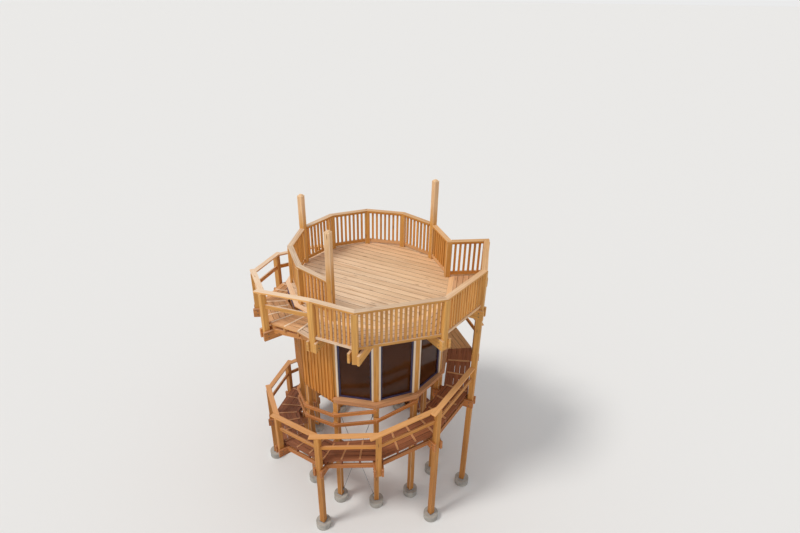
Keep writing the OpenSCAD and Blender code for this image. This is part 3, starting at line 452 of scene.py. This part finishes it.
def timber(name, colour, dark, roughness=0.62, spread=0.16, bleach=0.45, edge=None, depth=0.38):
    """Sawn and oiled timber: fine streaks along the grain, broad bands, a few
    knots and a tone of its own for each piece. Eased edges are painted paler, as wear
    and painted highlight; with an edge colour given, the eased edges and the sides of
    the boards' gaps take that instead, as dirt and painted shade. Tops are
    sun-bleached and painted with light, most on the open side and high up, the tall
    posts are painted paler towards their tops, and painted shade makes the timber
    darker and redder low down."""
    colour, dark = srgb(*colour), srgb(*dark)
    pale = between(colour, CREAM, 0.75)
    lit_post_top = between(shade(colour, 1.4), CREAM, 0.5)
    edge_wear_and_light, edge_wear_and_light_share = (srgb(*edge), 0.85) if edge else (pale, 0.4)
    material, tree, shader = new_material(name)
    grain = laid(tree, "grain", "Vector")
    place = own_place(tree)
    parted = add(tree, "ShaderNodeSeparateXYZ")
    tree.links.new(place, parted.inputs[0])
    above = parted.outputs["Z"]

    streaks = noise(tree, mapped(tree, grain, STREAKS), 1.0, 5.0, 0.4)
    bands = noise(tree, mapped(tree, grain, BANDS), 1.0, 3.0, 1.2)
    base = colour_steps(
        tree, bands, [(0.3, colour), (0.5, shade(colour, 1.15)), (0.72, shade(colour, 1.27))])
    patchy = colour_steps(tree, bands, [(0.3, grey(0.75 * bleach)), (0.7, grey(1.3 * bleach))])
    # Sun-bleaching and painted light: tops paler, most on the open side and high up
    sun = times(tree, laid(tree, "weather"), times(tree, patchy, sunlit(tree, place, above)))
    bleached_and_lit = blended(tree, sun, base, pale)
    # Painted light: the tall posts paler towards their tops
    topped = blended(tree, spread_over(tree, above, *POST_TOPS, 0.0, 0.85), bleached_and_lit, lit_post_top)
    fine = colour_steps(tree, streaks, [(0.32, dark), (0.62, grey(1.0))])
    grained = blended(tree, depth, topped, fine, "MULTIPLY")
    tones = colour_steps(tree, laid(tree, "tone"), [(0.0, grey(1 - spread)), (1.0, grey(1.0))])
    toned = blended(tree, 1.0, grained, tones, "MULTIPLY")
    # Painted shade: darker and redder low down
    low_shade = colour_steps(tree, spread_over(tree, above, *LOW_SHADE_HEIGHTS), PAINTED_LOW_SHADE)
    tinted = blended(tree, 1.0, toned, low_shade, "MULTIPLY")

    knots = add(tree, "ShaderNodeTexVoronoi")
    knots.inputs["Scale"].default_value = 1.0
    tree.links.new(mapped(tree, grain, KNOTS), knots.inputs["Vector"])
    spots = colour_steps(tree, knots.outputs["Distance"], [(0.035, grey(1.0)), (0.11, grey(0.0))])
    knotted = blended(tree, spots, tinted, shade(dark, 0.6))
    # Edges paler as wear and painted highlight; a given edge colour makes them dirt and painted
    # shade instead
    edged = blended(tree, times(tree, laid(tree, "worn"), edge_wear_and_light_share), knotted, edge_wear_and_light)
    tree.links.new(edged, shader.inputs["Base Color"])

    rough = colour_steps(
        tree, streaks, [(0.3, grey(roughness + 0.12)), (0.7, grey(roughness - 0.08))])
    tree.links.new(rough, shader.inputs["Roughness"])
    bumped(tree, shader, streaks, 0.35, 0.002)
    return material


def speckled(name, light, dark, scale, roughness, metallic=0.0, bump_height=0.001):
    """Paint, metal or concrete with broad clouds and fine speckles."""
    light, dark = srgb(*light), srgb(*dark)
    material, tree, shader = new_material(name)
    place = own_place(tree)
    broad = noise(tree, place, scale, 6.0, 0.3)
    fine = noise(tree, place, scale * 14, 3.0)
    clouds = colour_steps(tree, broad, [(0.35, dark), (0.65, light)])
    speckles = colour_steps(tree, fine, [(0.3, grey(0.4)), (0.7, grey(1.0))])
    tree.links.new(blended(tree, 0.18, clouds, speckles, "MULTIPLY"), shader.inputs["Base Color"])
    rough = colour_steps(tree, fine, [(0.3, grey(roughness + 0.1)), (0.7, grey(roughness - 0.1))])
    tree.links.new(rough, shader.inputs["Roughness"])
    shader.inputs["Metallic"].default_value = metallic
    bumped(tree, shader, fine, 0.4, bump_height)
    return material


def pane_glass(name):
    """Brown pane that shows the room behind it. Its brown is painted shade that dims the room."""
    material, tree, shader = new_material(name)
    haze = noise(tree, mapped(tree, own_place(tree), (0.6, 0.6, 1.4)), 1.0, 3.0)
    brown = colour_steps(tree, haze, [(0.3, srgb(66, 32, 12)), (0.7, srgb(92, 48, 20))])
    rough = colour_steps(tree, haze, [(0.3, grey(0.03)), (0.7, grey(0.07))])
    tree.links.new(brown, shader.inputs["Base Color"])
    tree.links.new(rough, shader.inputs["Roughness"])
    shader.inputs["Specular IOR Level"].default_value = 0.25
    shader.inputs["Alpha"].default_value = 0.55
    return material


# Timbers, each with its colour and the colour of its dark streaks
post_timber = timber(
    "post_timber", (216, 162, 84), (150, 90, 40), spread=0.12, bleach=0.8)
panel_timber = timber(
    "panel_timber", (222, 160, 78), (150, 88, 40), roughness=0.6, spread=0.24, bleach=1.15)
rail_timber = timber(
    "rail_timber", (230, 172, 98), (212, 166, 116),
    roughness=0.5, spread=0.08, bleach=1.15, depth=0.3)
# The dark edge colours of the floor and ramp timbers are dirt and painted shade in the boards'
# gaps
deck_timber = timber(
    "deck_timber", (222, 177, 122), (165, 112, 66),
    roughness=0.66, spread=0.1, bleach=1.1, edge=(84, 48, 26))
ring_timber = timber(
    "ring_timber", (198, 138, 72), (140, 88, 44),
    roughness=0.66, bleach=1.1, edge=(70, 38, 20))
ramp_timber = timber(
    "ramp_timber", (220, 162, 98), (150, 96, 50),
    roughness=0.66, spread=0.14, bleach=0.3, edge=(60, 32, 18))
clad_timber = timber(
    "clad_timber", (220, 153, 62), (120, 66, 24), spread=0.3, bleach=0.4, depth=0.55)
beam_timber = timber(
    "beam_timber", (204, 138, 72), (120, 70, 36))
# Painted shade: a darker, redder copy of the timber for the lower ramp and the landing's bearers
shaded_timber = timber(
    "shaded_timber", (160, 100, 64), (96, 54, 30),
    roughness=0.68, bleach=0.35, edge=(50, 26, 16))
sill_timber = timber(
    "sill_timber", (222, 170, 128), (140, 90, 60), roughness=0.6, spread=0.14, bleach=0.5)
jamb_timber = timber(
    "jamb_timber", (246, 236, 222), (214, 188, 158), roughness=0.6, spread=0.06, bleach=0.5)
room_timber = timber(
    "room_timber", (196, 150, 104), (130, 88, 52), roughness=0.66, spread=0.12, bleach=0.3)
cleat_timber = timber(
    "cleat_timber", (250, 234, 206), (240, 220, 190),
    roughness=0.6, spread=0.05, bleach=1.3, depth=0.2)
# Painted shade: a darker copy of the cleat timber for the lower ramp
low_cleat_timber = timber(
    "low_cleat_timber", (214, 166, 118), (150, 104, 66), roughness=0.6, spread=0.15, bleach=0.5)

# The other finishes, each with its light and dark colour and its speckles' scale
bolt_steel = speckled(
    "bolt_steel", (128, 116, 102), (96, 86, 76), 24.0,
    roughness=0.5, metallic=0.5, bump_height=0.0003)
frame_paint = speckled(
    "frame_paint", (58, 54, 94), (46, 43, 76), 3.0, roughness=0.42, bump_height=0.0004)
membrane = speckled(
    "membrane", (80, 66, 112), (62, 52, 92), 2.0, roughness=0.55)
galvanised = speckled(
    "galvanised", (176, 180, 186), (140, 144, 150), 24.0,
    roughness=0.42, metallic=0.85, bump_height=0.0003)
concrete = speckled(
    "concrete", (190, 186, 178), (160, 156, 150), 5.0, roughness=0.85)
glass = pane_glass("glass")

# Material and material slot of each node that keeps its shape
FINISH = {
    "footings": (concrete, "concrete"),
    "post_shoes": (galvanised, "steel"),
    "tie_rods": (galvanised, "steel"),
    "main_posts": (post_timber, "timber"),
    "outer_posts": (post_timber, "timber"),
    "cabin_floor_beams": (beam_timber, "shaded_timber"),
    "cabin_floor": (deck_timber, "deck_timber"),
    "window_rim_boards": (sill_timber, "timber"),
    "window_sills": (sill_timber, "pale_timber"),
    "window_jambs": (jamb_timber, "pale_timber"),
    "window_frames": (frame_paint, "frame_dark"),
    "entrance_frame": (frame_paint, "frame_dark"),
    "entrance_door": (frame_paint, "frame_dark"),
    "window_glass": (glass, "glass"),
    "entrance_glass": (glass, "glass"),
    "head_beams": (post_timber, "timber"),
    "roof_slab": (room_timber, "pale_timber"),
    "roof_rim": (post_timber, "timber"),
    "roof_membrane": (membrane, "membrane"),
    "terrace_battens": (beam_timber, "timber"),
    "terrace_border": (rail_timber, "pale_timber"),
    "ring_beams": (post_timber, "timber"),
    "end_panel": (panel_timber, "timber"),
    "stair_beams": (beam_timber, "shaded_timber"),
    "stair_stringers": (beam_timber, "shaded_timber"),
    "upper_ramp": (ramp_timber, "deck_timber"),
    "lower_ramp": (shaded_timber, "shaded_timber"),
    "stair_handrails": (rail_timber, "pale_timber"),
    "stair_mid_rails": (panel_timber, "timber"),
    "inner_rails": (beam_timber, "timber"),
    "rail_blocks": (post_timber, "timber"),
}
for row, last, finish in (
    ("wall", 7, (clad_timber, "clad_timber")),
    ("terrace_panel", 8, (panel_timber, "timber")),
    ("ring_panel", 4, (panel_timber, "timber")),
):
    FINISH.update({"%s_%d" % (row, k): finish for k in range(1, last + 1)})


# Pieces made from the nodes
def merged_copy(source, name):
    """Copy of a mesh with its loose triangles joined into whole faces."""
    piece = bpy.data.objects.new(name, source.data.copy())
    scene.collection.objects.link(piece)
    all_in_edit_mode(piece)
    bpy.ops.mesh.remove_doubles(threshold=MERGE_REACH)
    bpy.ops.mesh.dissolve_limited(angle_limit=math.radians(FLAT_ANGLE))
    bpy.ops.object.mode_set(mode="OBJECT")
    return piece


def ease(piece, width, angle=EASE_ANGLE):
    """Plane off the edges that are sharper than an angle."""
    edge = piece.modifiers.new("easing", "BEVEL")
    edge.width = width
    edge.segments = 1
    edge.limit_method = "ANGLE"
    edge.angle_limit = math.radians(angle)
    apply_modifiers(piece)


def finish_piece(piece, material, slot, replaced=()):
    lay_grain(piece, sum(map(ord, piece.name)), "panel" in piece.name)
    piece.data.materials.clear()
    piece.data.materials.append(material)
    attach(piece, "root")
    if replaced:
        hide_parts(*replaced)


for name, (material, slot) in FINISH.items():
    piece = merged_copy(nodes[name], name + "_dressed")
    if material not in (glass, concrete):
        ease(piece, EASE_RAMP if "ramp" in name else EASE_FINE)
    finish_piece(piece, material, slot, (name,))


# Level floors, cut into their boards
def twin_of(piece):
    twin = piece.copy()
    twin.data = piece.data.copy()
    scene.collection.objects.link(twin)
    return twin


def saw(piece, place, normal):
    """Cut off what lies beyond a plane and close the cut."""
    all_in_edit_mode(piece)
    bpy.ops.mesh.bisect(plane_co=place, plane_no=normal, use_fill=True, clear_outer=True)
    bpy.ops.object.mode_set(mode="OBJECT")


def joined(pieces, name):
    select_only(*pieces)
    bpy.ops.object.join()
    whole = bpy.context.view_layer.objects.active
    whole.name = name
    whole.data.name = name
    return whole


def loose_parts(piece):
    all_in_edit_mode(piece)
    bpy.ops.mesh.separate(type="LOOSE")
    bpy.ops.object.mode_set(mode="OBJECT")
    return list(bpy.context.selected_objects)


def board_strips(slab, normal, start, pitch, gap):
    """Saw a slab into boards with open gaps, from its edge inwards."""
    strips = []
    reach = min(v.co.dot(normal) for v in slab.data.vertices)
    outer = start
    while outer > reach + THIN_STRIP:
        strip = twin_of(slab)
        if outer < start:
            saw(strip, normal * outer, normal)
        inner = outer - pitch + gap
        if inner > reach:
            saw(strip, normal * inner, -normal)
        strips.append(strip)
        outer -= pitch
    bpy.data.objects.remove(slab)
    return strips


def outer_edge(piece):
    """Outward direction and distance of the longest level edge that lies on
    the walkway's outer side."""
    longest, outward, distance = 0, None, 0
    for edge in piece.data.edges:
        p, q = (piece.data.vertices[i].co for i in edge.vertices)
        level = abs(p.z - q.z) < LEVEL_SLACK
        outside = min(p.xy.length, q.xy.length) > OUTER_HALF
        if level and outside and (p - q).length > longest:
            longest = (p - q).length
            outward = (q - p).cross(Vector((0, 0, 1))).normalized()
            if outward.dot(p) < 0:
                outward = -outward
            distance = outward.dot(p)
    return outward, distance


def split_level(solid):
    """Part a deck into its board and the bearers below it."""
    top = max(v.co.z for v in solid.data.vertices)
    board = twin_of(solid)
    saw(board, (0, 0, top - BOARD_T + SAW_HALF), (0, 0, -1))
    saw(solid, (0, 0, top - BOARD_T - SAW_HALF), (0, 0, 1))
    if len(solid.data.vertices) == 0:
        bpy.data.objects.remove(solid)
        solid = None
    return board, solid


def walk_boards(node, boards_name, bearers_name, board_finish, bearer_finish):
    """Replace a level part of the walkway by sawn boards on their bearers."""
    strips = []
    bearers = []
    for solid in loose_parts(merged_copy(nodes[node], node + "_blank")):
        slab, bearer = split_level(solid)
        if bearer:
            bearers.append(bearer)
        outward, distance = outer_edge(slab)
        strips += board_strips(slab, outward, distance, WALK_PITCH, WALK_GAP)
    boards = joined(strips, boards_name)
    ease(boards, EASE_WALK)
    finish_piece(boards, *board_finish, (node,))
    below = joined(bearers, bearers_name)
    ease(below, EASE_FINE)
    finish_piece(below, *bearer_finish, (node,))


deck_finish = (deck_timber, "deck_timber")
ring_finish = (ring_timber, "deck_timber")
shaded_finish = (shaded_timber, "shaded_timber")
walk_boards("ring_deck", "ring_deck_boards", "ring_deck_bearer", ring_finish, ring_finish)
walk_boards("entrance_landing", "landing_boards", "landing_bearers", deck_finish, shaded_finish)

terrace = merged_copy(nodes["terrace_floor"], "terrace_blank")
across = heading(TERRACE_LINE + 90)
terrace_reach = max(v.co.dot(across) for v in terrace.data.vertices)
terrace_strips = board_strips(terrace, across, terrace_reach, TERRACE_PITCH, TERRACE_GAP)
terrace_boards = joined(terrace_strips, "terrace_boards")
ease(terrace_boards, EASE_FINE)
finish_piece(terrace_boards, *deck_finish, ("terrace_floor",))


# Pale cleats across the ramps
def cleat_bar():
    """Planed bar with eased edges, lying across the boards."""
    bpy.ops.object.select_all(action="DESELECT")
    bpy.ops.mesh.primitive_cube_add(size=1, location=(0, 0, CLEAT_LIFT), scale=CLEAT_SIZE)
    bar = bpy.context.active_object
    settle(bar)
    ease(bar, EASE_CLEAT)
    return bar


def side_mid(angle):
    """Middle of the side that an angle is on. Half a degree of slack puts a
    corner on the side above it."""
    sides_down = math.floor((RAMP_HEAD - angle - 0.5) / SIDE_ANGLE)
    return RAMP_HEAD - SIDE_ANGLE * (sides_down + 0.5)


def fall_of(ramp):
    """How far a ramp comes down in a degree."""
    return (ramp.top_z - ramp.low_z) / (ramp.top - ramp.low)


def ramp_place(angle, ramp):
    """Height and slope of a ramp at an angle, seen along the radius. The
    boards run straight from corner to corner of each side."""
    mid = side_mid(angle)
    start = min(mid + SIDE_ANGLE / 2, ramp.top)
    end = max(mid - SIDE_ANGLE / 2, ramp.low)
    spot, first, last = (math.tan(math.radians(a - mid)) for a in (angle, start, end))
    grade = fall_of(ramp) * (start - end) / (first - last)
    height = ramp.top_z + (end - ramp.top) * fall_of(ramp) + grade * (spot - last)
    slope = grade * math.cos(math.radians(angle - mid)) / WALK_MID
    return height, slope


def cleat(pattern, angle, height, slope):
    piece = twin_of(pattern)
    reach = WALK_MID / math.cos(math.radians(angle - side_mid(angle)))
    piece.data.transform(
        Matrix.Rotation(math.radians(angle), 4, "Z")
        @ Matrix.Translation((reach, 0, height))
        @ Matrix.Rotation(math.atan(slope), 4, "X")
        @ Matrix.Translation((0, CLEAT_BACK, 0))
    )
    return piece


bar = cleat_bar()
for name, finish, ramp in (
    ("upper_cleats", cleat_timber, UPPER_RAMP), ("lower_cleats", low_cleat_timber, LOWER_RAMP),
):
    lines = range(ramp.first_cleat, round((ramp.top - ramp.low) / CLEAT_STEP) + 1)
    angles = [ramp.top - i * CLEAT_STEP for i in lines]
    cleats = [cleat(bar, a, *ramp_place(a, ramp)) for a in angles]
    finish_piece(joined(cleats, name), finish, "pale_timber")
bpy.data.objects.remove(bar)


# Bolts through the twin beams and the posts
def turned(sides, radius, length, start):
    """Round or hexagon bar that runs along +Y."""
    bpy.ops.object.select_all(action="DESELECT")
    bpy.ops.mesh.primitive_cylinder_add(
        vertices=sides, radius=radius, depth=length,
        location=(0, start + length / 2, 0), rotation=(math.radians(90), 0, 0))
    piece = bpy.context.active_object
    settle(piece)
    return piece


def bolt_head():
    """Round washer with a hexagon head, on the face that looks along +Y."""
    washer = turned(12, WASHER_R, WASHER_T, 0)
    head = turned(6, HEAD_R, HEAD_H, WASHER_T)
    ease(head, EASE_BOLT, BOLT_ANGLE)
    return joined([washer, head], "bolt")


def beam_foot(angle, ramp):
    """Height of the underside of the twin beams below a ramp's corner. They
    lie as low as the boards are one line further down."""
    line = ramp.top_z + (angle - CLEAT_STEP - ramp.top) * fall_of(ramp)
    return line - BOARD_T - BEAM_FIT - RAMP_BEAM_H


bolt = bolt_head()
bolts = []
beam_rows = [(a, r, RING_BEAM_Z, RING_BEAM_H) for a, r in RING_BEAMS]
for ramp in (UPPER_RAMP, LOWER_RAMP):
    angles = [RAMP_HEAD - SIDE_ANGLE * i for i in ramp.corners]
    beam_rows += [(a, WALK_RING, beam_foot(a, ramp), RAMP_BEAM_H) for a in angles]
for angle, outer, foot, depth in beam_rows:
    for radius in (POST_RING, outer):
        for share in BOLT_ROWS:
            for flip in (0, 180):
                piece = twin_of(bolt)
                piece.data.transform(
                    Matrix.Rotation(math.radians(angle), 4, "Z")
                    @ Matrix.Translation((radius, 0, foot + depth * share))
                    @ Matrix.Rotation(math.radians(flip), 4, "Z")
                    @ Matrix.Translation((0, BEAM_SIDE, 0))
                )
                bolts.append(piece)
bpy.data.objects.remove(bolt)
finish_piece(joined(bolts, "beam_bolts"), bolt_steel, "steel")

# Floor, backdrop and light
FLOOR_SIZE = 300
FLOOR_DROP = 0.002
FLOOR_GREY = (0.80, 0.80, 0.80, 1)
BACKDROP_GREY = (0.83, 0.83, 0.83, 1)
SKY_WHITE = (1.0, 1.0, 1.0, 1)
SKY_STRENGTH = 0.60
SUN_STRENGTH = 1.6
SUN_WIDTH = 14
SUN_COLOUR = (1.0, 0.97, 0.92)
SUN_PATH = Vector((0.52, 0.22, -0.82))

bpy.ops.object.select_all(action="DESELECT")
bpy.ops.mesh.primitive_plane_add(size=FLOOR_SIZE, location=(0, 0, -FLOOR_DROP))
floor = bpy.context.active_object
floor.name = "floor"
settle(floor)
pale_floor, tree, shader = new_material("pale_floor")
shader.inputs["Base Color"].default_value = FLOOR_GREY
shader.inputs["Roughness"].default_value = 0.95
floor.data.materials.append(pale_floor)


def either(tree, first, second):
    node = add(tree, "ShaderNodeMath", operation="MAXIMUM")
    tree.links.new(first, node.inputs[0])
    tree.links.new(second, node.inputs[1])
    return node.outputs[0]


# The backdrop shows to the camera, in gloss and through glass. The soft sky
# lights the rest.
world = bpy.data.worlds.new("studio")
scene.world = world
world.use_nodes = True
tree = world.node_tree
sky = tree.nodes["Background"]
sky.inputs["Color"].default_value = SKY_WHITE
sky.inputs["Strength"].default_value = SKY_STRENGTH
backdrop = add(tree, "ShaderNodeBackground")
backdrop.inputs["Color"].default_value = BACKDROP_GREY
backdrop.inputs["Strength"].default_value = 1.0
rays = add(tree, "ShaderNodeLightPath").outputs
seen = either(tree, rays["Is Camera Ray"], rays["Is Transmission Ray"])
choice = add(tree, "ShaderNodeMixShader")
tree.links.new(either(tree, seen, rays["Is Glossy Ray"]), choice.inputs["Fac"])
tree.links.new(sky.outputs["Background"], choice.inputs[1])
tree.links.new(backdrop.outputs["Background"], choice.inputs[2])
tree.links.new(choice.outputs["Shader"], tree.nodes["World Output"].inputs["Surface"])

sun_data = bpy.data.lights.new("key", "SUN")
sun_data.energy = SUN_STRENGTH
sun_data.angle = math.radians(SUN_WIDTH)
sun_data.color = SUN_COLOUR
sun = bpy.data.objects.new("key", sun_data)
scene.collection.objects.link(sun)
sun.rotation_euler = SUN_PATH.to_track_quat("-Z", "Y").to_euler()
